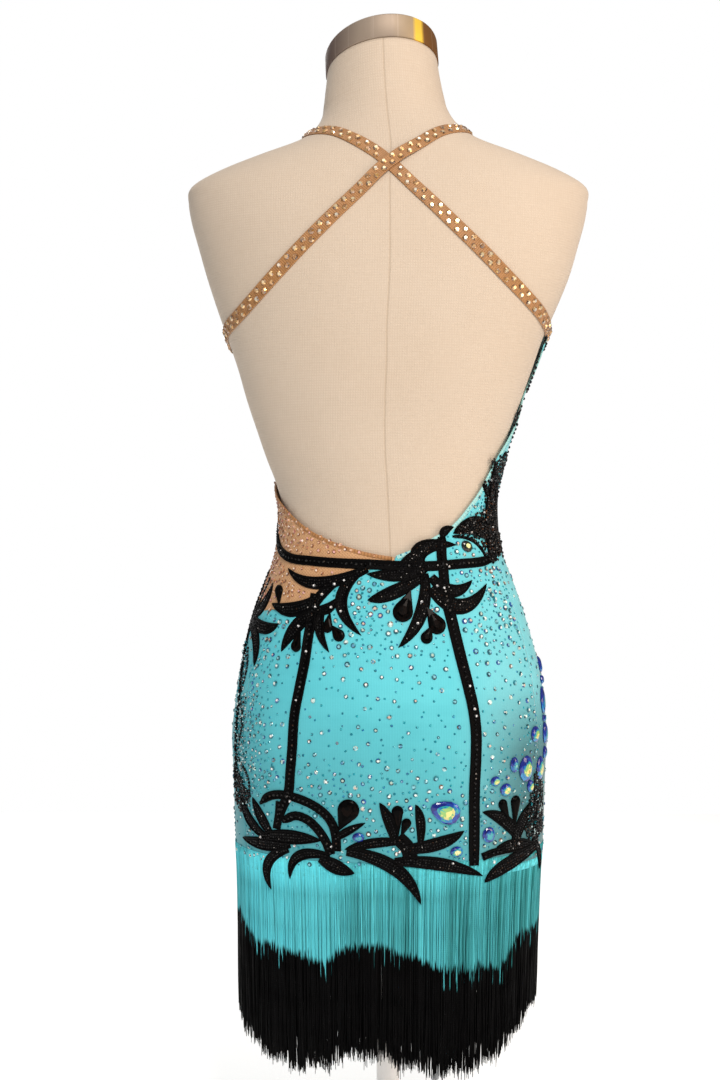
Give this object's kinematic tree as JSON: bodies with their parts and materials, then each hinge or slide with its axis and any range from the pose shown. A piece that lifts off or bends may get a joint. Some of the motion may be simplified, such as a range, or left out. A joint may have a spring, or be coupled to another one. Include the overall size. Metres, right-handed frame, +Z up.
{
  "type": "salsa dance dress on a dress form",
  "caption": "Backless fitted Latin dance dress with crossed straps, beaded leaf trim and a deep dip-dyed fringe, on a linen dress form with a round stand.",
  "frame": {"origin": "centre of the round base's flat underside", "axes": "+Z up, the dress faces -Y, +X to the wearer's left"},
  "size_m": [0.4387, 0.3, 1.2448],
  "materials": {
    "linen": "plain woven linen",
    "brushed_steel": "brushed",
    "turquoise_cloth": "smooth stretch knit with a soft sheen",
    "nude_mesh": "stretch mesh set with small crystals",
    "nude_elastic": "elastic with gold crystals",
    "black_beads": "beaded applique",
    "blue_stone": "faceted",
    "pale_stone": "faceted, rainbow coated",
    "fringe_yarn": "silky yarn, dip-dyed turquoise to black"
  },
  "bodies": {
    "root": {"form_body": "linen", "form_neck_cap": "brushed_steel", "form_collar": "brushed_steel", "form_pole": "brushed_steel", "form_base": "brushed_steel", "skirt_back": "turquoise_cloth", "skirt_front": "turquoise_cloth", "bodice_front": "turquoise_cloth", "mesh_panel": "nude_mesh", "strap_over": "nude_elastic", "strap_under": "nude_elastic", "waist_beading": "black_beads", "band_left": "black_beads", "band_right": "black_beads", "side_cord_left": "black_beads", "hem_spray_left": "black_beads", "hem_spray_centre": "black_beads", "hem_spray_right": "black_beads", "stone_hem_pear": "pale_stone", "stone_hem_blue": "blue_stone", "stone_hem_yellow": "pale_stone", "stone_hem_dark": "blue_stone", "stone_hip_large": "pale_stone", "stone_hip_small": "pale_stone", "stone_hip_upper": "pale_stone", "stone_hip_side": "pale_stone", "stone_hip_edge": "blue_stone", "stone_hip_top": "blue_stone", "stone_waist": "pale_stone", "fringe": "fringe_yarn"}
  },
  "joints": []
}
